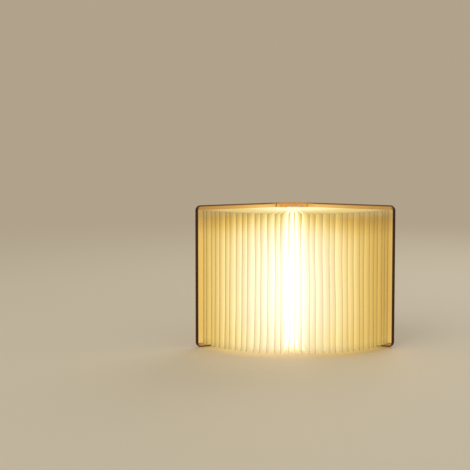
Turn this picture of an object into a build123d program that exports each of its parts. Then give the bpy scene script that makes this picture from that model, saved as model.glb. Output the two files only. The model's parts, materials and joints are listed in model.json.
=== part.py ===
from build123d import *

import os
from math import cos, pi, radians, sin

# A folding book lamp: two wooden covers joined by a laser-cut living hinge, a fan of folded
# paper leaves between them, and a light bar that stands inside the spine.
#
# Millimetres and degrees. +Z is up, +X is to the right and the fan opens towards -Y. The
# origin is at the middle of the spine's bottom edge, halfway through the wood. It is drawn
# as it stands open. "front" is the cover on the left (-X), "back" the one on the right (+X).

# ---- Driving dimensions ----

# Covers and spine
cover_height = 215.0
closed_depth = 158.0  # back of the spine to the fore-edge, with the lamp shut
closed_thickness = 36.0
board_thickness = 3.0
board_corner_radius = 8.0
opening_angle = 126.0  # between the covers as the lamp stands

# Lattice of diamond openings that lets the wood bend
hinge_columns = 12
diamond_rows = 2
diamond_width = 2.2
diamond_length = 92.0

# Paper
leaf_count = 34
paper_thickness = 0.16
leaf_clearance = 0.08  # between two leaves, with the lamp shut
leaf_setback = 6.0  # behind the boards' fore-edge
leaf_gap = 0.84  # in front of the light bar
paper_margin = 6.5  # below the boards' top edge and above their bottom one
uneven_spread = 0.006  # by how much of a cover's swing the pleats stand uneven
uneven_step = 2.4  # radians from one leaf to the next along that unevenness
endpaper_thickness = 0.2
endpaper_setback = 3.5
endpaper_start = 2.0

# Magnets let into the boards
magnet_radius = 5.0
magnet_thickness = 2.0
magnet_setback = 12.0  # fore-edge to the magnet's centre
magnet_spacing = 150.0
switch_magnet_radius = 4.0
switch_magnet_start = 8.0  # spine edge of the board to the magnet's centre
magnet_fit = 0.05

# Light bar, a stadium in section
core_radius = 7.1
core_flat = 5.5  # between the centres of its two round sides
core_gap = 1.1  # behind it, to the wood of the spine
core_margin = 6.0  # below the covers' top edge and above their bottom one
cap_thickness = 3.0
cap_chamfer = 0.6
housing_wall = 1.3
diffuser_wall = 1.2
diffuser_lap = 1.7  # how far behind the bar's middle the diffuser reaches
shell_gap = 0.05
rail_thickness = 1.1
rail_fit = 0.55
rail_rise = 2.0
inner_fit = 0.2

# Mounting tape
tape_end_margin = 10.0
tape_gap = 0.15

# Light source
board_sheet = 1.0
led_board_drop = 1.5  # in front of the bar's middle
led_board_width = 15.6
led_end_margin = 11.0
led_rows = 20
led_width = 2.8
led_length = 3.5
led_height = 0.8
led_column_pitch = 8.0
led_row_pitch = 8.6

# Battery and electronics
battery_lift = 13.0  # above the bottom cap
battery_drop = 9.8  # below the charge board
lead_radius = 0.5
lead_spacing = 4.0
lead_lap = 2.2  # of each battery lead along the charge board
charge_board_length = 54.0
charge_board_drop = 3.1  # behind the bar's middle
connector_width = 7.6
connector_height = 2.5
connector_drop = 21.0  # below the top cap
reed_radius = 1.1
reed_length = 14.0
reed_side = 5.3
reed_drop = 39.0
indicator_radius = 1.0
indicator_side = 3.0
indicator_length = 9.0

# USB-C socket
socket_width = 8.94
socket_depth = 3.2
socket_length = 7.4
socket_wall = 0.3
socket_bore = 6.2
tongue_width = 6.7
tongue_thickness = 0.7
tongue_length = 5.0

# Cap screws
screw_radius = 0.95
screw_head_radius = 1.8
screw_length = 8.0
screw_side = 6.6
screw_fit = 0.05
boss_radius = 1.9
boss_length = 8.0

# ---- How the spine bends and the covers swing ----

# The wood bends on its mid-surface. Shut, the spine is half a circle; open, each half turns
# through spine_bend at an even radius and runs straight on into its board.
shut_radius = (closed_thickness - board_thickness) / 2
half_spine = pi / 2 * shut_radius
half_opening = opening_angle / 2
spine_bend = 90 - half_opening
spine_radius = half_spine / radians(spine_bend)
column_pitch = 2 * half_spine / hinge_columns
board_length = closed_depth - board_thickness / 2 - shut_radius


def cover_pivot():
    # The point about which a cover turns from shut to open, as a complex number
    turn = complex(cos(radians(half_opening)), sin(radians(half_opening)))
    shut = complex(shut_radius, -shut_radius)
    bend = radians(spine_bend)
    standing = spine_radius * complex(sin(bend), cos(bend) - 1)
    return (standing - turn * shut) / (1 - turn)


pivot_x = cover_pivot().real
pivot_y = cover_pivot().imag
board_start = shut_radius + pivot_y  # pivot to the board's spine edge
board_end = board_start + board_length
inner_face = shut_radius - board_thickness / 2 - pivot_x  # pivot to the board's inner face

# The light bar stands between its two caps, and the switch magnet is level with the reed
core_bottom = core_margin
core_top = cover_height - core_margin
shell_bottom = core_bottom + cap_thickness
shell_top = core_top - cap_thickness
reed_middle = shell_top - reed_drop
switch_height = reed_middle - cover_height / 2


def swing_plane(swing, share, height):
    # At the pivot of a leaf or cover: X runs out along it and Y crosses it
    along = (sin(radians(swing)), -cos(radians(swing)), 0)
    return Plane(origin=(share * pivot_x, pivot_y, height), x_dir=along, z_dir=(0, 0, 1))


def cover_plane(side):
    # On a board's inner face at mid-height: X runs to the fore-edge and Z outwards
    swing = swing_plane(side * half_opening, side, cover_height / 2)
    origin = swing.origin + swing.y_dir * (side * inner_face)
    return Plane(origin=origin, x_dir=swing.x_dir, z_dir=swing.y_dir * side)


def spine_plane(bend):
    # On the spine's mid-surface at mid-height, bend radians round from its middle
    origin = (spine_radius * sin(bend), spine_radius * (cos(bend) - 1), cover_height / 2)
    return Plane(origin=origin, x_dir=(cos(bend), -sin(bend), 0), z_dir=(sin(bend), cos(bend), 0))


# ---- Covers and living hinge ----


def diamonds(column):
    # Every other column stands half a step higher, so its end diamonds run out of the edge
    with GridLocations(column_pitch, cover_height / diamond_rows, 1, diamond_rows + column % 2):
        Polygon(
            (diamond_width / 2, 0),
            (0, diamond_length / 2),
            (-diamond_width / 2, 0),
            (0, -diamond_length / 2),
            align=None,
        )


def magnet_places():
    return GridLocations(1, magnet_spacing, 1, 2)


def make_board(side, column, switch_magnet):
    face = cover_plane(side)
    magnet_line = Location((board_end - magnet_setback, 0))
    switch_place = (board_start + switch_magnet_start, switch_height * -side)
    with BuildPart() as board:
        with BuildSketch(face) as outline:
            with Locations((board_start + board_length / 2, 0)):
                Rectangle(board_length, cover_height)
            fillet(outline.vertices().group_by(Axis.X)[-1], board_corner_radius)
        extrude(amount=board_thickness)
        with BuildSketch(face):
            with Locations((board_start + column_pitch / 2, 0)):
                diamonds(column)
        extrude(amount=board_thickness, mode=Mode.SUBTRACT)
        with BuildSketch(face):
            with Locations(magnet_line), magnet_places():
                Circle(magnet_radius + magnet_fit)
            if switch_magnet:
                with Locations(switch_place):
                    Circle(switch_magnet_radius + magnet_fit)
        extrude(amount=magnet_thickness + magnet_fit, mode=Mode.SUBTRACT)
    return board


def make_magnets(side):
    with BuildPart() as magnets:
        with BuildSketch(cover_plane(side)):
            with Locations((board_end - magnet_setback, 0)), magnet_places():
                Circle(magnet_radius)
        extrude(amount=magnet_thickness)
    return magnets


def make_endpaper(side):
    length = board_length - endpaper_start - endpaper_setback
    with BuildPart() as endpaper:
        with BuildSketch(cover_plane(side)):
            with Locations((board_start + endpaper_start + length / 2, 0)):
                Rectangle(length, cover_height - 2 * paper_margin)
        extrude(amount=-endpaper_thickness)
    return endpaper


front_board = make_board(-1, -1, False)
back_board = make_board(1, hinge_columns, True)
front_magnets = make_magnets(-1)
back_magnets = make_magnets(1)
front_endpaper = make_endpaper(-1)
back_endpaper = make_endpaper(1)

with BuildPart() as switch_magnet:
    with BuildSketch(cover_plane(1)):
        with Locations((board_start + switch_magnet_start, -switch_height)):
            Circle(switch_magnet_radius)
    extrude(amount=magnet_thickness)

with BuildPart() as living_hinge:
    with BuildSketch():
        with BuildLine():
            centre = (0, -spine_radius)
            outside = CenterArc(centre, spine_radius + board_thickness / 2, half_opening, 2 * spine_bend)
            inside = CenterArc(centre, spine_radius - board_thickness / 2, half_opening, 2 * spine_bend)
            Line(outside @ 0, inside @ 0)
            Line(outside @ 1, inside @ 1)
        make_face()
    extrude(amount=cover_height)
    for column in range(hinge_columns):
        steps = column + 0.5 - hinge_columns / 2
        with BuildSketch(spine_plane(steps * column_pitch / spine_radius)):
            diamonds(column)
        extrude(amount=board_thickness, both=True, mode=Mode.SUBTRACT)

# ---- Fan of paper leaves ----

# Shut, the leaves stand at an even pitch between the boards. Open, each one has swung
# through its own share of a cover's swing, from -1 at the front to +1 at the back.
leaf_pitch = (closed_thickness - 2 * board_thickness) / (leaf_count + 1)
leaf_mouth = leaf_pitch - leaf_clearance
core_y = -(board_thickness / 2 + core_gap + core_radius)
core_front = core_y - core_radius
leaf_start = pivot_y - core_front + leaf_gap
leaf_end = board_end - leaf_setback


def leaf_share(number):
    return 2 * number / (leaf_count + 1) - 1


def leaf_swing(number):
    # Share of a cover's swing that this leaf takes
    return leaf_share(number) + uneven_spread * sin(uneven_step * number)


def make_leaf(number):
    # A sheet folded in two: the fold is the pleat's ridge, and its mouth faces the light
    share = leaf_share(number)
    mouth = leaf_mouth / 2
    paper = paper_thickness
    with BuildPart() as leaf:
        with BuildSketch(swing_plane(leaf_swing(number) * half_opening, share, paper_margin)):
            with Locations((0, share * inner_face)):
                Polygon(
                    (leaf_start, mouth),
                    (leaf_start, mouth - paper),
                    (leaf_end - 2 * paper, 0),
                    (leaf_start, paper - mouth),
                    (leaf_start, -mouth),
                    (leaf_end - paper, -paper),
                    (leaf_end, -paper / 2),
                    (leaf_end, paper / 2),
                    (leaf_end - paper, paper),
                    align=None,
                )
        extrude(amount=cover_height - 2 * paper_margin)
    return leaf


leaves = [make_leaf(number) for number in range(1, leaf_count + 1)]

# ---- Light bar ----

split_y = core_y + diffuser_lap
led_back = core_y - led_board_drop
led_front = led_back - board_sheet
rail_outer = core_flat / 2 + core_radius - diffuser_wall - rail_fit
rail_inner = rail_outer - rail_thickness
rail_back = split_y + rail_rise
charge_back = core_y + charge_board_drop
charge_front = charge_back - board_sheet
socket_y = charge_front - socket_depth / 2
screw_y = charge_front - boss_radius - 2 * screw_fit
screw_places = [(-screw_side, screw_y), (screw_side, screw_y)]


def core_section(radius, mode=Mode.ADD):
    with Locations((0, core_y)):
        SlotCenterToCenter(core_flat, 2 * radius, mode=mode)


def half_plane(edge, side, mode):
    # Everything in front of (side -1) or behind (side 1) the line y = edge
    reach = 4 * core_radius
    with Locations((0, edge + side * reach / 2)):
        Rectangle(core_flat + reach, reach, mode=mode)


with BuildPart() as core_housing:
    with BuildSketch(Plane.XY.offset(shell_bottom)):
        core_section(core_radius)
        core_section(core_radius - housing_wall, Mode.SUBTRACT)
        half_plane(split_y + shell_gap, -1, Mode.SUBTRACT)
        with Locations((0, (rail_back + led_back) / 2)), GridLocations(rail_inner + rail_outer, 1, 2, 1):
            Rectangle(rail_thickness, rail_back - led_back)
    extrude(amount=shell_top - shell_bottom)
    with BuildSketch(Plane.XY.offset(shell_bottom)):
        with Locations(*screw_places):
            Circle(boss_radius)
    extrude(amount=boss_length)
    with BuildSketch(Plane.XY.offset(shell_top)):
        with Locations(*screw_places):
            Circle(boss_radius)
    extrude(amount=-boss_length)
    with BuildSketch(Plane.XY.offset(shell_bottom)):
        with Locations(*screw_places):
            Circle(screw_radius + screw_fit)
    extrude(amount=shell_top - shell_bottom, mode=Mode.SUBTRACT)

with BuildPart() as diffuser:
    with BuildSketch(Plane.XY.offset(shell_bottom)):
        core_section(core_radius)
        core_section(core_radius - diffuser_wall, Mode.SUBTRACT)
        half_plane(split_y - shell_gap, 1, Mode.SUBTRACT)
    extrude(amount=shell_top - shell_bottom)


def make_cap(bottom, outward):
    # A lid on one end of the bar, its outer rim chamfered, with two sunk screws
    outer_face = bottom + cap_thickness if outward > 0 else bottom
    with BuildPart() as cap:
        with BuildSketch(Plane.XY.offset(bottom)):
            core_section(core_radius)
        extrude(amount=cap_thickness)
        rim = cap.faces().sort_by(Axis.Z)[-1 if outward > 0 else 0].edges()
        chamfer(rim, cap_chamfer)
        with Locations(*[Plane((x, y, outer_face), z_dir=(0, 0, outward)) for x, y in screw_places]):
            CounterSinkHole(
                screw_radius + 2 * screw_fit, screw_head_radius + screw_fit, counter_sink_angle=90
            )
        if outward > 0:
            with BuildSketch(Plane.XY.offset(bottom)):
                with Locations((0, socket_y)):
                    SlotOverall(socket_width + 2 * inner_fit, socket_depth + 2 * inner_fit)
                with Locations((indicator_side, indicator_y)):
                    Circle(indicator_radius + screw_fit)
            extrude(amount=cap_thickness, mode=Mode.SUBTRACT)
    return cap


indicator_y = charge_back + indicator_radius + 2 * inner_fit
bottom_cap = make_cap(core_bottom, -1)
top_cap = make_cap(shell_top, 1)

with BuildPart() as cap_screws:
    # 90 degree countersunk heads, so a head is as deep as it stands out from the shank
    head_depth = screw_head_radius - screw_radius
    for face, outward in ((core_bottom, -1), (core_top, 1)):
        with Locations(*[Plane((x, y, face), z_dir=(0, 0, -outward)) for x, y in screw_places]):
            Cone(screw_head_radius, screw_radius, head_depth, align=(Align.CENTER, Align.CENTER, Align.MIN))
            Cylinder(screw_radius, screw_length, align=(Align.CENTER, Align.CENTER, Align.MIN))

with BuildPart() as mounting_tape:
    with BuildSketch(Plane.XY.offset(core_bottom + tape_end_margin)):
        with Locations((0, core_y + core_radius + (core_gap - tape_gap) / 2)):
            Rectangle(core_flat, core_gap - tape_gap)
    extrude(amount=core_top - core_bottom - 2 * tape_end_margin)

with BuildPart() as led_board:
    with BuildSketch(Plane.XY.offset(shell_bottom + led_end_margin)):
        with Locations((0, led_back - board_sheet / 2)):
            Rectangle(led_board_width, board_sheet)
    extrude(amount=shell_top - shell_bottom - 2 * led_end_margin)

with BuildPart() as leds:
    with BuildSketch(Plane.XZ.offset(-led_front)):
        with Locations((0, cover_height / 2)), GridLocations(led_column_pitch, led_row_pitch, 2, led_rows):
            Rectangle(led_width, led_length)
    extrude(amount=led_height)

charge_board_bottom = shell_top - inner_fit - charge_board_length
battery_bottom = shell_bottom + battery_lift
battery_top = charge_board_bottom - battery_drop
with BuildPart() as battery:
    with BuildSketch(Plane.XY.offset(battery_bottom)):
        core_section(core_radius - housing_wall - inner_fit)
        half_plane(led_back + inner_fit, -1, Mode.SUBTRACT)
        with Locations((0, core_y)):
            Rectangle(2 * (rail_inner - inner_fit), 2 * core_radius, mode=Mode.INTERSECT)
    extrude(amount=battery_top - battery_bottom)

with BuildPart() as battery_leads:
    with BuildSketch(Plane.XY.offset(battery_top)):
        with Locations((0, charge_front - lead_radius - shell_gap)), GridLocations(lead_spacing, 1, 2, 1):
            Circle(lead_radius)
    extrude(amount=battery_drop + lead_lap)

with BuildPart() as charge_board:
    with BuildSketch(Plane.XY.offset(charge_board_bottom)):
        with Locations((0, charge_back - board_sheet / 2)):
            Rectangle(2 * (rail_inner - inner_fit), board_sheet)
    extrude(amount=charge_board_length)

with BuildPart() as board_connector:
    with BuildSketch(Plane.XY.offset(shell_top - connector_drop)):
        with Locations((0, (charge_front + led_back) / 2)):
            Rectangle(connector_width, charge_front - led_back)
    extrude(amount=-connector_height)

with BuildPart() as reed_switch:
    with Locations((reed_side, charge_front - reed_radius - shell_gap, reed_middle)):
        Cylinder(reed_radius, reed_length)

with BuildPart() as charge_indicator:
    with Locations((indicator_side, indicator_y, core_top)):
        Cylinder(indicator_radius, indicator_length, align=(Align.CENTER, Align.CENTER, Align.MAX))

with BuildPart() as usb_socket:
    with BuildSketch(Plane.XY.offset(core_top)):
        with Locations((0, socket_y)):
            SlotOverall(socket_width, socket_depth)
    extrude(amount=-socket_length)
    with BuildSketch(Plane.XY.offset(core_top)):
        with Locations((0, socket_y)):
            SlotOverall(socket_width - 2 * socket_wall, socket_depth - 2 * socket_wall)
    extrude(amount=-socket_bore, mode=Mode.SUBTRACT)
    with BuildSketch(Plane.XY.offset(core_top - socket_bore)):
        with Locations((0, socket_y)):
            Rectangle(tongue_width, tongue_thickness)
    extrude(amount=tongue_length)

# ---- One STEP file for each piece ----

pieces = {
    "front_board": front_board,
    "back_board": back_board,
    "living_hinge": living_hinge,
    "front_endpaper": front_endpaper,
    "back_endpaper": back_endpaper,
    "front_magnets": front_magnets,
    "back_magnets": back_magnets,
    "switch_magnet": switch_magnet,
    "core_housing": core_housing,
    "diffuser": diffuser,
    "top_cap": top_cap,
    "bottom_cap": bottom_cap,
    "cap_screws": cap_screws,
    "mounting_tape": mounting_tape,
    "led_board": led_board,
    "leds": leds,
    "battery": battery,
    "battery_leads": battery_leads,
    "charge_board": charge_board,
    "board_connector": board_connector,
    "reed_switch": reed_switch,
    "charge_indicator": charge_indicator,
    "usb_socket": usb_socket,
}
for number, leaf in enumerate(leaves, start=1):
    pieces[f"leaf_{number:02d}"] = leaf

os.makedirs("parts", exist_ok=True)
for name, piece in pieces.items():
    piece.part.label = name
    export_step(piece.part, f"parts/{name}.step")
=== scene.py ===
# A folding book lamp that stands open and lit: wooden covers on a laser-cut living hinge, a fan
# of folded paper leaves, and a light bar inside the spine. Lengths are in metres.

import json
from math import cos, pi, radians, sin

import bmesh
import bpy
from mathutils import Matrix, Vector

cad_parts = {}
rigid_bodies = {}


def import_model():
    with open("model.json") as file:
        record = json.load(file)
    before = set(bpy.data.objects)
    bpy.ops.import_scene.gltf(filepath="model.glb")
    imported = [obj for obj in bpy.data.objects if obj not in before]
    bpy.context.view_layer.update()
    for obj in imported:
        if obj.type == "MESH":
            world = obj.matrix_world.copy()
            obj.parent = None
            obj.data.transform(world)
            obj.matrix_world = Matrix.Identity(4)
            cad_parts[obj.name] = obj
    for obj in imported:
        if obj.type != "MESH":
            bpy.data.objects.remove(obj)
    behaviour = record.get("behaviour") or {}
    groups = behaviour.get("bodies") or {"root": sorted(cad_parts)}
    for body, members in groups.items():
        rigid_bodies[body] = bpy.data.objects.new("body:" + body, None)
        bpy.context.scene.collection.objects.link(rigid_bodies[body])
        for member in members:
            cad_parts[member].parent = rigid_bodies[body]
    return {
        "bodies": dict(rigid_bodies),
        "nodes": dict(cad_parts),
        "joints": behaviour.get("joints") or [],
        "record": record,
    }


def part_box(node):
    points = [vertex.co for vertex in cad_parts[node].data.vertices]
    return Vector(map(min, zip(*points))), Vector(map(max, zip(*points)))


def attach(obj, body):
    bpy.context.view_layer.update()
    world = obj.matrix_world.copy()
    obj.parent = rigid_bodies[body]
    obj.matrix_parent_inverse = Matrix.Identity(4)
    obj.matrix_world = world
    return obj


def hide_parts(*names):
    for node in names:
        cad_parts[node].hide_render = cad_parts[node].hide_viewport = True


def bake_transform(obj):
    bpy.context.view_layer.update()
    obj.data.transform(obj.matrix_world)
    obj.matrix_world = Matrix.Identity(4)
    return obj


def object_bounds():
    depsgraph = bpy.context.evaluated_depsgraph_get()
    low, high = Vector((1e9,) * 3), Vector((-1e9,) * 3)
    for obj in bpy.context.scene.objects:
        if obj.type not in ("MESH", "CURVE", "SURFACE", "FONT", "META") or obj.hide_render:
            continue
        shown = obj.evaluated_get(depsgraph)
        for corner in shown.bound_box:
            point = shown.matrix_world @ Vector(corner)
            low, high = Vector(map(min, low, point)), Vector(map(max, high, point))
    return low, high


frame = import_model()
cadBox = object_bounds()
mm = 0.001
tiny = 0.001 * mm  # lengths that differ by less count as the same

# The lamp's own sizes, read from the frame
jointOf = {joint["child"]: joint for joint in frame["joints"]}
ratioOf = {link["joint"]: link["ratio"] for link in frame["record"]["behaviour"]["couplings"]}
leafBodies = sorted(body for body in frame["bodies"] if body.startswith("leaf_"))
halfOpening = -jointOf["back_cover"]["range_deg"][0]  # degrees, from straight ahead to a cover
coverHeight = cadBox[1].z
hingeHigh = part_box("living_hinge")[1]
boardThickness = 2 * hingeHigh.y  # the frame's origin is halfway through the wood
spineBend = radians(90 - halfOpening)
spineRadius = hingeHigh.x / sin(spineBend) - boardThickness / 2
halfSpine = spineRadius * spineBend
barLow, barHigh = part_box("diffuser")
ledLow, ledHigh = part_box("leds")
barY = (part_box("top_cap")[0].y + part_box("top_cap")[1].y) / 2


class Hinged:  # where a cover or leaf stands at rest: out along it, and across it
    def __init__(self, body, node):
        joint = jointOf[body]
        turn = joint["axis"][2] * ratioOf.get(joint["name"], 1)
        angle = radians(turn * halfOpening)
        self.share = turn
        self.origin = Vector(joint["pos_m"])
        self.along = Vector((sin(angle), -cos(angle), 0))
        self.across = Vector((cos(angle), sin(angle), 0))
        corners = [vertex.co for vertex in frame["nodes"][node].data.vertices]
        outs = [(corner - self.origin).dot(self.along) for corner in corners]
        sides = [(corner - self.origin).dot(self.across) for corner in corners]
        ups = [corner.z for corner in corners]
        self.start, self.end = min(outs), max(outs)
        self.middle = (min(sides) + max(sides)) / 2
        self.halfWidth = (max(sides) - min(sides)) / 2
        self.bottom, self.top = min(ups), max(ups)

    def point(self, out, side, up):
        return self.origin + out * self.along + side * self.across + Vector((0, 0, up))


# Camera

cameraSetup = {
    "place": (-0.0907, -1.5735, 0.322),
    "lens": 76.98,
    "tiltDown": 3.61,  # degrees
    "shift": -0.08,
}


def makeCamera():
    camera = bpy.data.cameras.new("photoCamera")
    camera.lens = cameraSetup["lens"]
    camera.shift_y = cameraSetup["shift"]
    holder = bpy.data.objects.new("photoCamera", camera)
    holder.location = cameraSetup["place"]
    holder.rotation_euler = (radians(90 - cameraSetup["tiltDown"]), 0, 0)
    bpy.context.scene.collection.objects.link(holder)
    bpy.context.scene.camera = holder


makeCamera()
print("camera set")

# Shader maths


class Signal:  # a number that changes over a surface
    def __init__(self, finish, socket):
        self.finish, self.socket = finish, socket

    def join(self, operation, *others):
        inputs = [other.socket if isinstance(other, Signal) else other for other in (self, *others)]
        node = self.finish.add("ShaderNodeMath", {"operation": operation}, dict(enumerate(inputs)))
        return Signal(self.finish, node.outputs[0])

    def flipped(self, operation, other):
        node = self.finish.add("ShaderNodeMath", {"operation": operation}, {0: other, 1: self.socket})
        return Signal(self.finish, node.outputs[0])

    def __add__(self, other):
        return self.join("ADD", other)

    def __sub__(self, other):
        return self.join("SUBTRACT", other)

    def __mul__(self, other):
        return self.join("MULTIPLY", other)

    def __truediv__(self, other):
        return self.join("DIVIDE", other)

    def __rsub__(self, other):
        return self.flipped("SUBTRACT", other)

    def __rtruediv__(self, other):
        return self.flipped("DIVIDE", other)

    def __neg__(self):
        return self * -1

    __radd__ = __add__
    __rmul__ = __mul__

    def least(self, other):
        return self.join("MINIMUM", other)

    def most(self, other):
        return self.join("MAXIMUM", other)

    def root(self):
        return self.join("SQRT")

    def grown(self):
        return self.join("EXPONENT")

    def size(self):
        return self.join("ABSOLUTE")

    def ramp(self, start, end):  # 0 at start to 1 at end, smoothly
        settings = {"interpolation_type": "SMOOTHSTEP"}
        inputs = {"Value": self.socket, "From Min": start, "From Max": end}
        return Signal(self.finish, self.finish.add("ShaderNodeMapRange", settings, inputs).outputs[0])


shaderSockets = {
    "colour": "Base Color",
    "roughness": "Roughness",
    "metallic": "Metallic",
    "shine": "Specular IOR Level",
    "clear": "Transmission Weight",
    "glowColour": "Emission Color",
    "glow": "Emission Strength",
    "normal": "Normal",
}


class Finish:  # one material, or the world, and its nodes
    def __init__(self, name, isWorld=False):
        self.material = (bpy.data.worlds if isWorld else bpy.data.materials).new(name)
        self.material.use_nodes = True
        self.tree = self.material.node_tree
        self.tree.nodes.clear()
        self.shader = self.add("ShaderNodeBackground" if isWorld else "ShaderNodeBsdfPrincipled")
        end = "ShaderNodeOutputWorld" if isWorld else "ShaderNodeOutputMaterial"
        self.end = self.add(end, inputs={"Surface": self.shader.outputs[0]})

    def add(self, kind, settings=None, inputs=None):
        node = self.tree.nodes.new(kind)
        for name, value in (settings or {}).items():
            if name == "stops":
                self.setStops(node.color_ramp.elements, value)
            else:
                setattr(node, name, value)
        for name, value in (inputs or {}).items():
            self.feed(node.inputs[name], value)
        return node

    def setStops(self, elements, stops):
        while len(elements) < len(stops):
            elements.new(1)
        for element, (position, colour) in zip(elements, stops):
            element.position, element.color = position, (*colour, 1)

    def feed(self, socket, value):
        if isinstance(value, Signal):
            value = value.socket
        if isinstance(value, bpy.types.NodeSocket):
            self.tree.links.new(value, socket)
        elif socket.type == "RGBA" and len(value) == 3:
            socket.default_value = (*value, 1)
        else:
            socket.default_value = value

    def set(self, **values):
        for name, value in values.items():
            self.feed(self.shader.inputs[shaderSockets[name]], value)

    def cover(self, factor, shader):  # another shader over the first, by a factor
        both = self.add("ShaderNodeMixShader", inputs={0: factor, 1: self.shader.outputs[0], 2: shader})
        self.feed(self.end.inputs[0], both.outputs[0])

    def place(self, stored=None):  # a point's place at rest, in metres
        if stored:
            return self.add("ShaderNodeAttribute", {"attribute_name": stored}).outputs["Vector"]
        return self.add("ShaderNodeTexCoord").outputs["Object"]

    def parts(self, vector):
        node = self.add("ShaderNodeSeparateXYZ", inputs={0: vector})
        return [Signal(self, output) for output in node.outputs]

    def stored(self, name):  # a number kept on the mesh's points
        return Signal(self, self.add("ShaderNodeAttribute", {"attribute_name": name}).outputs["Fac"])

    def scaled(self, vector, factors):
        settings = {"operation": "MULTIPLY"}
        return self.add("ShaderNodeVectorMath", settings, {0: vector, 1: factors}).outputs[0]

    def noise(self, vector, scale, detail=2, roughness=0.5):
        inputs = {"Vector": vector, "Scale": scale, "Detail": detail, "Roughness": roughness}
        return Signal(self, self.add("ShaderNodeTexNoise", inputs=inputs).outputs[0])

    def mix(self, factor, first, second, blend="MIX"):
        settings = {"data_type": "RGBA", "blend_type": blend, "clamp_factor": blend == "MIX"}
        node = self.add("ShaderNodeMix", settings, {"Factor": factor, 6: first, 7: second})
        return node.outputs[2]

    def tinted(self, colour, amount):  # a colour times a number
        return self.mix(1, colour, self.grey(amount), "MULTIPLY")

    def grey(self, amount):
        inputs = {0: amount, 1: amount, 2: amount}
        return self.add("ShaderNodeCombineColor", inputs=inputs).outputs[0]

    def bump(self, height, depth, strength=1.0):
        inputs = {"Height": height, "Distance": depth, "Strength": strength}
        return self.add("ShaderNodeBump", inputs=inputs).outputs[0]


# The lamp's light, painted on what it falls on

lampGlow = {
    "turn": -7,  # degrees by which the beam leans to the left
    "spread": 38,  # degrees
    "middle": 95 * mm,  # height at which it is brightest
    "above": 119 * mm,
    "below": 127 * mm,
    "beam": 2.35,  # how much brighter it is ahead than behind
    "base": -0.13,
    "topFade": (165 * mm, 215 * mm),
    "topDrop": 0.8,
    "topKeep": 0.5,  # how much less it drops straight ahead
    "foot": (4 * mm, 30 * mm),
    "footLift": 0.1,
    "strength": 2.15,
    "range": (-1, 4.5),
    "stops": [  # from the dimmest paper to the brightest
        (0.00, (0.02, 0.01, 0.00)),
        (0.15, (0.13, 0.075, 0.011)),
        (0.24, (0.21, 0.155, 0.04)),
        (0.37, (0.30, 0.27, 0.15)),
        (0.50, (0.325, 0.31, 0.26)),
        (0.82, (0.65, 0.62, 0.54)),
        (1.00, (1.6, 1.5, 1.15)),
    ],
}


def barDistance(x, y):
    ahead = barY - y
    return (x * x + ahead * ahead).root()


def lampLevel(finish, place):  # how bright the light is at a place, in powers of e
    x, y, z = finish.parts(place)
    aside = (x.join("ARCTAN2", barY - y) - radians(lampGlow["turn"])) / radians(lampGlow["spread"])
    beam = (-(aside * aside)).grown()
    up = z - lampGlow["middle"]
    high, low = up.most(0) / lampGlow["above"], up.least(0) / lampGlow["below"]
    lift = (1 - z.ramp(*lampGlow["foot"])) * lampGlow["footLift"]
    drop = z.ramp(*lampGlow["topFade"]) * (lampGlow["topDrop"] - beam * lampGlow["topKeep"])
    ahead = beam * lampGlow["beam"] + lampGlow["base"]
    return ahead * (1 - high * high * high - low * low) + lift - drop


def addLampGlow(finish, level, shade=1):
    least, most = lampGlow["range"]
    share = (level - least) / (most - least)
    shown = finish.add("ShaderNodeValToRGB", {"stops": lampGlow["stops"]}, {"Fac": share}).outputs[0]
    finish.set(glowColour=finish.tinted(shown, shade), glow=lampGlow["strength"])


# Meshes

sharpFrom = 35  # degrees between faces


def makePiece(name, points, faces, materials, slots=None, values=None):
    mesh = bpy.data.meshes.new(name)
    mesh.from_pydata(points, [], faces)
    for material in materials:
        mesh.materials.append(material)
    if slots:
        mesh.polygons.foreach_set("material_index", slots)
    places = mesh.attributes.new("restPlace", "FLOAT_VECTOR", "POINT")
    places.data.foreach_set("vector", [number for point in points for number in point])
    for label, numbers in (values or {}).items():
        mesh.attributes.new(label, "FLOAT", "POINT").data.foreach_set("value", numbers)
    shaped = bmesh.new()
    shaped.from_mesh(mesh)
    bmesh.ops.recalc_face_normals(shaped, faces=shaped.faces)
    shaped.to_mesh(mesh)
    shaped.free()
    mesh.polygons.foreach_set("use_smooth", [True] * len(mesh.polygons))
    mesh.set_sharp_from_angle(angle=radians(sharpFrom))
    piece = bpy.data.objects.new(name, mesh)
    bpy.context.scene.collection.objects.link(piece)
    return piece


# Wood: each half of the covers is one sheet, from the middle of the spine to its fore-edge

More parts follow.
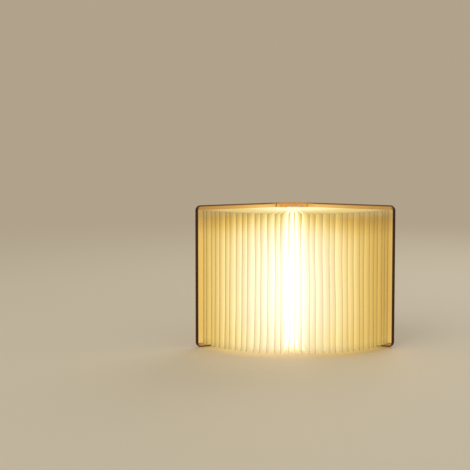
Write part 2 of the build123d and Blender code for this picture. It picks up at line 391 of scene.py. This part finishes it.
woodSetup = {
    "columns": 6,  # of diamonds in half the hinge; the board holds one more
    "rows": 2,
    "diamondWidth": 2.2 * mm,
    "diamondLength": 92 * mm,
    "edgeNarrow": 0.45,  # the openings that are cut through at the top and bottom are narrower there
    "edgeTaper": 7 * mm,
    "cornerRadius": 8 * mm,
    "cornerSteps": 10,
    "softEdge": 0.15 * mm,
    "insets": (0.5 * mm, 1.6 * mm),  # rings inside the soft edge, so that its shading stays narrow
    "slitSmoke": 0.4 * mm,
    "slitDark": 0.8,
    "edgeSmoke": (1.1 * mm, 2.7 * mm),  # where the cut's smoke ends
    # the band near the fore-edge: partly the cut's smoke, partly painted shade of the inner margin
    "foreSmokeAndShade": (1.8 * mm, 5.5 * mm),
    "smokeOutside": 0.25,  # share of it on the outer faces
    "litFar": (1.0, 0.70, 0.23),  # the lamp's light on the inner faces
    "litNear": (0.95, 0.40, 0.01),
    "litReach": 105 * mm,
    "litMost": 0.38,
    "litLeast": 0.06,
    "litCut": 0.7,
    "nearBar": (14 * mm, 40 * mm),
    "rightSide": (-50 * mm, 120 * mm),  # it falls off from left to right
    "rightDrop": 0.3,
    "foreShade": (2 * mm, 9 * mm),
    "foreDrop": 0.75,
    "streaks": (90, 1, 3.5),  # per metre across the grain, through the board and along the grain
    "fibres": (1500, 1, 22),
    "figure": (16, 1, 5),
    "pores": (2600, 1, 130),
    "soot": (160, 900, 160),
    "grainDepth": 0.12 * mm,
    "sootDepth": 0.15 * mm,
    "light": (0.640, 0.375, 0.122),
    "dark": (0.520, 0.280, 0.076),
    "pore": (0.290, 0.138, 0.042),
    "char": (0.048, 0.014, 0.003),
    "scorched": (0.160, 0.078, 0.022),  # the paler smoke of the long edges
    "bendStart": 4 * mm,
    "bendEnd": (22 * mm, -5 * mm),
}


backBoard = Hinged("back_cover", "back_board")
sheetEnd = halfSpine + backBoard.end - backBoard.start


def nearBar(finish):  # the distance from the light bar, and 1 beside it
    x, y = finish.parts(finish.place("restPlace"))[:2]
    away = barDistance(x, y)
    return away, 1 - away.ramp(*woodSetup["nearBar"])


def makeCutFinish():  # the burnt walls that the cut leaves
    finish = Finish("woodCut")
    soot = finish.noise(finish.scaled(finish.place("sheetPlace"), woodSetup["soot"]), 1, 3)
    colour = finish.mix(soot.ramp(0.45, 0.8) * 0.5, woodSetup["char"], woodSetup["pore"])
    finish.set(colour=colour, roughness=0.85, normal=finish.bump(soot, woodSetup["sootDepth"], 0.6))
    # painted light: the light bar's orange light on the cut walls beside it
    near = nearBar(finish)[1]
    finish.set(glowColour=finish.tinted(woodSetup["litNear"], near * near * woodSetup["litCut"]), glow=1.0)
    return finish.material


def makeWoodFinish():
    finish = Finish("woodFace")
    place = finish.place("sheetPlace")
    s, n, z = finish.parts(place)
    away, near = nearBar(finish)
    streaks = finish.noise(finish.scaled(place, woodSetup["streaks"]), 1, 3)
    fibres = finish.noise(finish.scaled(place, woodSetup["fibres"]), 1, 4, 0.6)
    figure = finish.noise(finish.scaled(place, woodSetup["figure"]), 1, 2)
    pores = finish.noise(finish.scaled(place, woodSetup["pores"]), 1, 2).ramp(0.64, 0.72)
    tone = (streaks * 0.5 + fibres * 0.4 + figure * 0.25).ramp(0.3, 0.85)
    colour = finish.mix(tone, woodSetup["light"], woodSetup["dark"])
    colour = finish.mix(pores * 0.3, colour, woodSetup["pore"])

    # smoke from the cut, along the edges and beside the openings; the dark band near the fore-edge is
    # partly smoke and partly painted shade of the inner margin
    radius, inside = woodSetup["cornerRadius"], (-n).ramp(0, boardThickness / 4)
    fore, rim = sheetEnd - s.size(), z.least(coverHeight - z)
    deepFore, deepRim = (radius - fore).most(0), (radius - rim).most(0)
    edge = radius - (deepRim * deepRim + deepFore * deepFore).root()
    atFore = 1 - fore.ramp(*woodSetup["foreSmokeAndShade"])
    smoke = (1 - (edge * (0.8 + streaks * 0.4)).ramp(*woodSetup["edgeSmoke"])).most(atFore)
    outside = woodSetup["smokeOutside"]
    # Beside the light bar, on the inner face, the smoke and scorch are painted weaker and the wood painted
    # darker, to go with the bar's painted orange light there
    smoke = smoke * (inside * (1 - outside) + outside) * (1 - near * inside * 0.55)
    scorch = finish.stored("scorch")
    burnt = scorch * scorch * (0.85 + streaks * 0.3) * (1 - near * inside * 0.7)
    colour = finish.mix(near * inside * 0.5, colour, woodSetup["pore"])
    colour = finish.mix(smoke, colour, woodSetup["scorched"])
    colour = finish.mix(burnt.most(smoke * atFore).least(1), colour, woodSetup["char"])
    smoke = smoke.most(burnt).least(1)
    finish.set(colour=colour, roughness=0.52 + fibres * 0.16, shine=0.35)
    finish.set(normal=finish.bump(fibres * 0.7 + pores * -0.5, woodSetup["grainDepth"], 0.5))

    # the lamp's light on the inner faces
    spread = away / woodSetup["litReach"]
    light = (-(spread * spread)).grown() * woodSetup["litMost"] + woodSetup["litLeast"]
    light = inside * light * (1 - smoke * 0.93) * (0.9 + fibres * 0.2)
    light = light * (1 - s.ramp(*woodSetup["rightSide"]) * woodSetup["rightDrop"])
    light = light * (1 - (1 - fore.ramp(*woodSetup["foreShade"])) * woodSetup["foreDrop"])
    shown = finish.mix(near, woodSetup["litFar"], woodSetup["litNear"])
    finish.set(glowColour=finish.tinted(shown, light), glow=1.0)
    return finish.material


def woodPoint(side, s, n, z):  # from the flat sheet to the lamp as it stands open
    turn = min(s, halfSpine) / spineRadius
    past = max(s - halfSpine, 0)
    x = (spineRadius + n) * sin(turn) + past * cos(turn)
    y = (spineRadius + n) * cos(turn) - spineRadius - past * sin(turn)
    return (side * x, y, z)


def slitHalf(z, raised):  # half the width of a column's opening at a height
    step = coverHeight / woodSetup["rows"]
    past = (z + (0 if raised else step / 2)) % step
    away = min(past, step - past) / (woodSetup["diamondLength"] / 2)
    edge = min(1, min(z, coverHeight - z) / woodSetup["edgeTaper"])
    narrowed = woodSetup["edgeNarrow"] + (1 - woodSetup["edgeNarrow"]) * edge if raised else 1
    return narrowed * woodSetup["diamondWidth"] / 2 * max(0, 1 - away)


def sheetRows():  # heights at which the lattice turns, or a ring of the edge runs
    step, reach = coverHeight / woodSetup["rows"], woodSetup["diamondLength"] / 2
    heights = [woodSetup["softEdge"], *woodSetup["insets"]]
    heights = [0, coverHeight, *heights, *(coverHeight - height for height in heights)]
    for middle in [step / 2 * number for number in range(2 * woodSetup["rows"] + 1)]:
        for height in (middle, middle - reach, middle + reach, middle - reach - mm, middle + reach + mm):
            if woodSetup["insets"][1] < height < coverHeight - woodSetup["insets"][1]:
                heights.append(height)
    return sorted(set(round(height, 7) for height in heights))


def edgeScorch(distance):  # a face is burnt on its soft edge
    return 1 if distance <= woodSetup["softEdge"] + tiny else 0


class WoodSheet:  # gathers points and faces on the flat sheet, welding what coincides
    def __init__(self, side):
        self.side, self.places, self.scorch, self.index = side, [], [], {}
        self.faces, self.slots = [], []

    def point(self, s, n, z, scorch):
        key = (round(s, 7), round(n, 7), round(z, 7))
        if key not in self.index:
            self.index[key] = len(self.places)
            self.places.append((s, n, z))
            self.scorch.append(scorch)
        return self.index[key]

    def face(self, corners, slot):
        corners = list(dict.fromkeys(self.point(*corner) for corner in corners))
        if len(corners) > 2:
            self.faces.append(corners)
            self.slots.append(slot)

    def piece(self, name, materials):
        points = [woodPoint(self.side, *place) for place in self.places]
        piece = makePiece(name, points, self.faces, materials, self.slots, {"scorch": self.scorch})
        sheet = piece.data.attributes.new("sheetPlace", "FLOAT_VECTOR", "POINT")
        flat = [number for s, n, z in self.places for number in (self.side * s, n, z)]
        sheet.data.foreach_set("vector", flat)
        return piece


def latticeColumn(sheet, number, rows):
    pitch = halfSpine / woodSetup["columns"]
    raised = (number + (sheet.side < 0)) % 2 == 1
    soft, half = woodSetup["softEdge"], boardThickness / 2
    gap = 3  # the strip that the opening takes up

    def lines(z, sign):  # across the column: place, thickness and scorch
        opening = slitHalf(z, raised)
        rim = min(z, coverHeight - z)
        base = edgeScorch(rim)
        thin = half - soft if rim == 0 else half
        cut = min(1, opening / soft)
        dark = 1 if opening > 0 else base
        middle = (number + 0.5) * pitch
        found = [(number * pitch, sign * thin, z, base)]
        for way in (-1, 1):
            three = [
                (middle + way * (opening + woodSetup["slitSmoke"]), sign * thin, z, base),
                (middle + way * (opening + soft), sign * thin, z, max(base, dark * woodSetup["slitDark"])),
                (middle + way * opening, sign * (thin - soft * cut * (rim > 0)), z, dark),
            ]
            found += three[::-way] if way > 0 else three
        return found + [((number + 1) * pitch, sign * thin, z, base)]

    for low, high in zip(rows, rows[1:]):
        isOpen = slitHalf(low, raised) > 0 or slitHalf(high, raised) > 0
        outs, ins = [[lines(z, sign) for z in (low, high)] for sign in (1, -1)]
        for lower, upper in (outs, ins):
            for at in range(len(lower) - 1):
                if at != gap or not isOpen:
                    sheet.face([lower[at], lower[at + 1], upper[at + 1], upper[at]], 0)
        if isOpen:
            for at in (gap, gap + 1):
                sheet.face([outs[0][at], outs[1][at], ins[1][at], ins[0][at]], 1)
    for z in (0, coverHeight):
        outer, inner = lines(z, 1), lines(z, -1)
        for at in range(len(outer) - 1):
            if at != gap:
                sheet.face([outer[at], outer[at + 1], inner[at + 1], inner[at]], 1)


def boardRing(start, end, inset):  # outline of the solid board, drawn in by inset
    radius, steps = woodSetup["cornerRadius"], woodSetup["cornerSteps"]
    turns = [pi / 2 * step / steps for step in range(steps + 1)]
    reach = radius - inset
    lower = [(end - radius + reach * sin(turn), radius - reach * cos(turn)) for turn in turns]
    upper = [(s, coverHeight - z) for s, z in reversed(lower)]
    return [(start, inset), *lower, *upper, (start, coverHeight - inset)]


def solidBoard(sheet, start, end, rows):
    half, soft = boardThickness / 2, woodSetup["softEdge"]
    insets = [0, soft, *woodSetup["insets"]]
    for sign in (1, -1):
        rings = []
        for inset in insets:
            depth = sign * (half - soft if inset == 0 else half)
            ring = boardRing(start, end, inset)
            rings.append([(s, depth, z, edgeScorch(inset)) for s, z in ring])
        for wide, narrow in zip(rings, rings[1:]):
            for at in range(len(wide) - 1):
                sheet.face([wide[at], wide[at + 1], narrow[at + 1], narrow[at]], 0)
        inner = [z for z in rows if insets[-1] < z < coverHeight - insets[-1]]
        sheet.face(rings[-1] + [(start, sign * half, z, 0) for z in reversed(inner)], 0)
    rim, wall = boardRing(start, end, 0), half - soft
    for (s0, z0), (s1, z1) in zip(rim, rim[1:]):
        sheet.face([(s0, wall, z0, 1), (s1, wall, z1, 1), (s1, -wall, z1, 1), (s0, -wall, z0, 1)], 1)


def makeWood(side, board, materials):
    sheet = WoodSheet(side)
    rows = sheetRows()
    for number in range(woodSetup["columns"] + 1):
        latticeColumn(sheet, number, rows)
    pitch = halfSpine / woodSetup["columns"]
    solidBoard(sheet, pitch * (woodSetup["columns"] + 1), sheetEnd, rows)
    for low, high in zip(rows, rows[1:]):  # where the two sheets meet
        ends = []
        for sign, z in ((1, low), (1, high), (-1, high), (-1, low)):
            soft = woodSetup["softEdge"] if z in (0, rows[-1]) else 0
            ends.append((0, sign * (boardThickness / 2 - soft), z, 0))
        sheet.face(ends, 0)
    piece = sheet.piece(board.replace("_board", "Wood"), materials)
    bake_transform(piece)
    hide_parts(board, "living_hinge")
    return piece


woodMaterials = [makeWoodFinish(), makeCutFinish()]
makeWood(-1, "front_board", woodMaterials)
makeWood(1, "back_board", woodMaterials)
print("wooden covers and hinge made")

# Paper leaves

paperSetup = {
    "thickness": 0.16 * mm,
    "rows": 20,
    "steps": 12,
    "foldSteps": 5,
    "foldRadius": 0.24 * mm,
    "puff": 0.07 * mm,
    "sway": 0.54 * mm,
    "waves": [(0.23, 0.35, 0, 1), (0.11, 0.8, 0.2, 0.45)],  # length, shifts and height of each sway
    "splay": 2.6 * mm,
    "stiffness": 1.6,
    "ripple": 0.12 * mm,
    "rippleTurns": (38, 9),  # per metre, and how much they differ from leaf to leaf
    "colour": (0.65, 0.53, 0.27),
    "fibre": (0.57, 0.45, 0.21),
    "fibres": (420, 420, 260),
    "fibreDepth": 0.05 * mm,
    "clouds": 45,
    "lift": 0.86,  # how much brighter the leaves are than the covers' paper, in powers of e
    "ridgeDrop": 0.95,
    "inward": 10 * mm,  # how soon a leaf gets brighter, inward of its fold
    "leastAside": 0.22,
    "deep": (45 * mm, 110 * mm),  # where it is brighter again, close to the light
    "deepFoot": (5 * mm, 60 * mm),
    "deepFootLift": 2,
    "foldWidth": 1.2 * mm,
    "ridgeShade": 0.38,
    "foldShade": 0.45,
    # painted shade on the paper's own colour, towards each ridge and along each fold
    "ridgeBaseShade": 0.15,
    "foldBaseShade": 0.5,
}


def makePaperFinish(name, stored=None):
    finish = Finish(name)
    place = finish.place(stored)
    fibres = finish.noise(finish.scaled(place, paperSetup["fibres"]), 1, 4, 0.65)
    clouds = finish.noise(place, paperSetup["clouds"], 2)
    mottle = (fibres * 0.6 + clouds * 0.5).ramp(0.35, 0.85)
    colour = finish.mix(mottle, paperSetup["colour"], paperSetup["fibre"])
    level, shade = lampLevel(finish, place) + (fibres - 0.5) * 0.25 + (clouds - 0.5) * 0.2, 1
    if stored:
        depth = finish.stored("depth")
        x, y, z = finish.parts(place)
        aside = (x / barDistance(x, y)).size().most(paperSetup["leastAside"])
        ridge = (depth * aside / -paperSetup["inward"]).grown()
        fold = 1 - depth.ramp(0, paperSetup["foldWidth"])
        foot = (1 - z.ramp(*paperSetup["deepFoot"])) * paperSetup["deepFootLift"]
        level = level + depth.ramp(*paperSetup["deep"]) * (1 + foot)
        level = level - ridge * paperSetup["ridgeDrop"] + paperSetup["lift"]
        shade = (1 - ridge * paperSetup["ridgeShade"]) * (1 - fold * paperSetup["foldShade"])
        # painted shade: the paper's colour is darkened towards each ridge and along each fold, where the
        # creases between leaves are shaded
        baseShade = fold * paperSetup["foldBaseShade"] + ridge * paperSetup["ridgeBaseShade"]
        colour = finish.tinted(colour, 1 - baseShade)
    finish.set(colour=colour, roughness=0.82 + clouds * 0.1, shine=0.25)
    finish.set(normal=finish.bump(fibres, paperSetup["fibreDepth"], 0.6))
    addLampGlow(finish, level, shade)
    return finish


def leafSway(share, out, up):  # how far the whole fan leans aside there, alike in neighbours
    free = (1 - share * share) * out ** paperSetup["stiffness"]
    wave = sum(
        height * sin(2 * pi * (up / length + perShare * share + shift))
        for length, perShare, shift, height in paperSetup["waves"]
    )
    splay = sin(pi * share) * (0.5 - up / coverHeight)
    return free * (paperSetup["sway"] * wave + paperSetup["splay"] * splay)


def leafSection(leaf):  # out and aside, along the sheet's middle, from mouth to mouth over the fold
    paper, fold = paperSetup["thickness"] / 2, paperSetup["foldRadius"]
    steps, foldSteps = paperSetup["steps"], paperSetup["foldSteps"] + 1
    flank = []
    for step in range(steps + 1):
        share = step / steps
        aside = leaf.halfWidth - paper + (fold - paper - leaf.halfWidth) * share
        out = leaf.start + share * (leaf.end - fold - leaf.start)
        flank.append((out, aside + paperSetup["puff"] * sin(pi * share)))
    tipHalf = flank[-1][1]
    turns = [pi / 2 * (1 - 2 * step / foldSteps) for step in range(1, foldSteps)]
    nose = [(leaf.end - fold + (fold - paper) * cos(turn), tipHalf * sin(turn)) for turn in turns]
    return flank + nose + [(out, -aside) for out, aside in reversed(flank)]


def makeLeaf(body, material):
    leaf = Hinged(body, body)
    number = int(body[-2:])
    rows, section = paperSetup["rows"], leafSection(leaf)
    turns, spread = paperSetup["rippleTurns"]
    points, depths = [], []
    for row in range(rows + 1):
        up = leaf.bottom + (leaf.top - leaf.bottom) * row / rows
        for out, aside in section:
            depths.append(leaf.end - out)
            share = (out - leaf.start) / (leaf.end - leaf.start)
            phase = number * 2.1 + up * (turns + spread * sin(number * 1.7))
            ripple = paperSetup["ripple"] * share**2 * sin(phase)
            lean = leaf.middle + aside + ripple + leafSway(leaf.share, share, up)
            points.append(leaf.point(out, lean, up))
    wide = len(section)
    faces = [
        (row * wide + at, row * wide + at + 1, (row + 1) * wide + at + 1, (row + 1) * wide + at)
        for row in range(rows) for at in range(wide - 1)
    ]
    piece = makePiece("paperLeaf%02d" % number, points, faces, [material], values={"depth": depths})
    thick = piece.modifiers.new("paper", "SOLIDIFY")
    thick.thickness = paperSetup["thickness"]
    thick.offset = 0
    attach(piece, body)
    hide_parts(body)
    return piece


leafMaterial = makePaperFinish("leafPaper", "restPlace").material
for body in leafBodies:
    makeLeaf(body, leafMaterial)
print("paper leaves made:", len(leafBodies))

# Light bar and what it holds


def dress(nodes, finish):
    for node in nodes:
        materials = frame["nodes"][node].data.materials
        materials.clear()
        materials.append(finish.material)


barSetup = {
    "moulded": {  # nodes, colour, grain per metre and roughness
        "whitePlastic": (["core_housing", "top_cap", "bottom_cap"], (0.78, 0.74, 0.66), 900, 0.42),
        "foamTape": (["mounting_tape"], (0.06, 0.06, 0.06), 1500, 0.9),
        "whiteMask": (["led_board", "charge_board"], (0.80, 0.80, 0.77), 300, 0.25),
        "blackHeader": (["board_connector"], (0.02, 0.02, 0.02), 900, 0.42),
        "wireCover": (["battery_leads"], (0.45, 0.02, 0.015), 900, 0.42),
        "ledPhosphor": (["leds"], (0.90, 0.72, 0.25), 800, 0.3),
        "lightPipe": (["charge_indicator"], (0.80, 0.82, 0.80), 500, 0.15),
        "reedGlass": (["reed_switch"], (0.60, 0.75, 0.68), 400, 0.05),
    },
    "metal": {  # nodes, colour and roughness
        "foilPouch": (["battery"], (0.66, 0.68, 0.72), 0.35),
        "nickel": (["front_magnets", "back_magnets", "switch_magnet"], (0.60, 0.58, 0.55), 0.18),
        "zinc": (["cap_screws"], (0.50, 0.50, 0.52), 0.3),
        "socketSteel": (["usb_socket"], (0.58, 0.58, 0.60), 0.25),
    },
    "glow": {  # colour and strength
        "whitePlastic": ((1.0, 0.62, 0.16), 0.22),  # the light comes a little through it
        "ledPhosphor": ((1.0, 0.90, 0.70), 3.0),
    },
    "clear": {"reedGlass": 0.8},
    "mouldedDepth": 0.02 * mm,
    "scratchDepth": 0.01 * mm,
    "scratches": (300, 300, 4000),
    "opal": (0.86, 0.82, 0.72),
    "opalGrain": (0.80, 0.75, 0.64),
    "opalTexture": 700,
    "opalGlow": ((1.0, 0.90, 0.70), 1.6),
    "opalFade": 4 * mm,
}


def makeMoulded(name, colour, grain, rough):
    finish = Finish(name)
    texture = finish.noise(finish.place(), grain, 2)
    finish.set(colour=finish.mix(texture, colour, [part * 0.9 for part in colour]))
    finish.set(roughness=rough + texture * 0.12)
    finish.set(normal=finish.bump(texture, barSetup["mouldedDepth"], 0.5))
    if name in barSetup["glow"]:
        glowColour, glow = barSetup["glow"][name]
        finish.set(glowColour=glowColour, glow=glow)
    if name in barSetup["clear"]:
        finish.set(clear=barSetup["clear"][name])
    return finish


def makeMetal(name, colour, rough):
    finish = Finish(name)
    scratches = finish.noise(finish.scaled(finish.place(), barSetup["scratches"]), 1, 3)
    finish.set(colour=finish.mix(scratches, colour, [part * 0.8 for part in colour]))
    finish.set(metallic=1.0, roughness=rough + scratches * 0.15)
    finish.set(normal=finish.bump(scratches, barSetup["scratchDepth"], 0.4))
    return finish


def makeDiffuser():
    finish = Finish("opalDiffuser")
    place = finish.place()
    z = finish.parts(place)[2]
    grain = finish.noise(place, barSetup["opalTexture"], 2)
    finish.set(colour=finish.mix(grain, barSetup["opal"], barSetup["opalGrain"]))
    finish.set(roughness=0.35 + grain * 0.1)
    fade, (glowColour, glow) = barSetup["opalFade"], barSetup["opalGlow"]
    lit = z.ramp(barLow.z, ledLow.z + fade) * (1 - z.ramp(ledHigh.z - fade, barHigh.z))
    finish.set(glowColour=finish.tinted(glowColour, lit * 0.97 + 0.03), glow=glow)
    return finish


dress(["front_endpaper", "back_endpaper"], makePaperFinish("endpaper"))
dress(["diffuser"], makeDiffuser())
for name, (nodes, colour, grain, rough) in barSetup["moulded"].items():
    dress(nodes, makeMoulded(name, colour, grain, rough))
for name, (nodes, colour, rough) in barSetup["metal"].items():
    dress(nodes, makeMetal(name, colour, rough))
print("light bar dressed")

# Floor and light

stageSetup = {
    "floor": (0.66, 0.57, 0.41),
    "floorSize": 12,
    "floorGrain": 60,
    "floorRoughness": 0.7,
    "floorDrop": 0.2 * mm,  # so that it doesn't share a plane with the lamp's underside
    "sky": (0.44, 0.365, 0.26),
    "fade": (0.5, 2.2),  # metres from the lamp over which the floor turns into the sky
    "skyStrength": 0.55,
    "lights": [  # name, power, place, size
        ("softKey", 26, (-1.6, -2.0, 2.2), 2.2),
        ("softBack", 20, (1.3, 2.1, 1.8), 2.0),
    ],
}


def seenDirectly(finish):  # 1 for what the camera, gloss and glass show, 0 for the light it gives
    rays = finish.add("ShaderNodeLightPath").outputs
    seen = Signal(finish, rays["Is Camera Ray"]).most(Signal(finish, rays["Is Glossy Ray"]))
    return seen.most(Signal(finish, rays["Is Transmission Ray"]))


def makeFloor():
    size = stageSetup["floorSize"] / 2
    corners = [(-size, -size, 0), (size, -size, 0), (size, size, 0), (-size, size, 0)]
    finish = Finish("paleFloor")
    place = finish.place()
    texture, colour = finish.noise(place, stageSetup["floorGrain"], 3), stageSetup["floor"]
    finish.set(colour=finish.mix(texture, colour, [part * 0.985 for part in colour]))
    finish.set(roughness=stageSetup["floorRoughness"])
    x, y, z = finish.parts(place)
    far = (x * x + y * y).root().ramp(*stageSetup["fade"]) * seenDirectly(finish)
    sky = finish.add("ShaderNodeEmission", inputs={"Color": stageSetup["sky"]})
    finish.cover(far, sky.outputs[0])
    floor = makePiece("paleFloor", corners, [(0, 1, 2, 3)], [finish.material])
    floor.location.z = -stageSetup["floorDrop"]


def makeWorld():
    studio = Finish("studio", isWorld=True)
    studio.feed(studio.shader.inputs["Color"], (1, 1, 1))
    studio.feed(studio.shader.inputs["Strength"], stageSetup["skyStrength"])
    sky = studio.add("ShaderNodeBackground", inputs={"Color": stageSetup["sky"]})
    studio.cover(seenDirectly(studio), sky.outputs[0])
    bpy.context.scene.world = studio.material


def makeLight(name, power, place, size):
    light = bpy.data.lights.new(name, "AREA")
    light.energy, light.size = power, size
    holder = bpy.data.objects.new(name, light)
    holder.location = place
    aim = Vector((0, 0, coverHeight / 2)) - holder.location
    holder.rotation_euler = aim.to_track_quat("-Z", "Y").to_euler()
    bpy.context.scene.collection.objects.link(holder)


makeFloor()
makeWorld()
for light in stageSetup["lights"]:
    makeLight(*light)
bpy.context.scene.view_settings.view_transform = "Standard"
print("floor and light set")
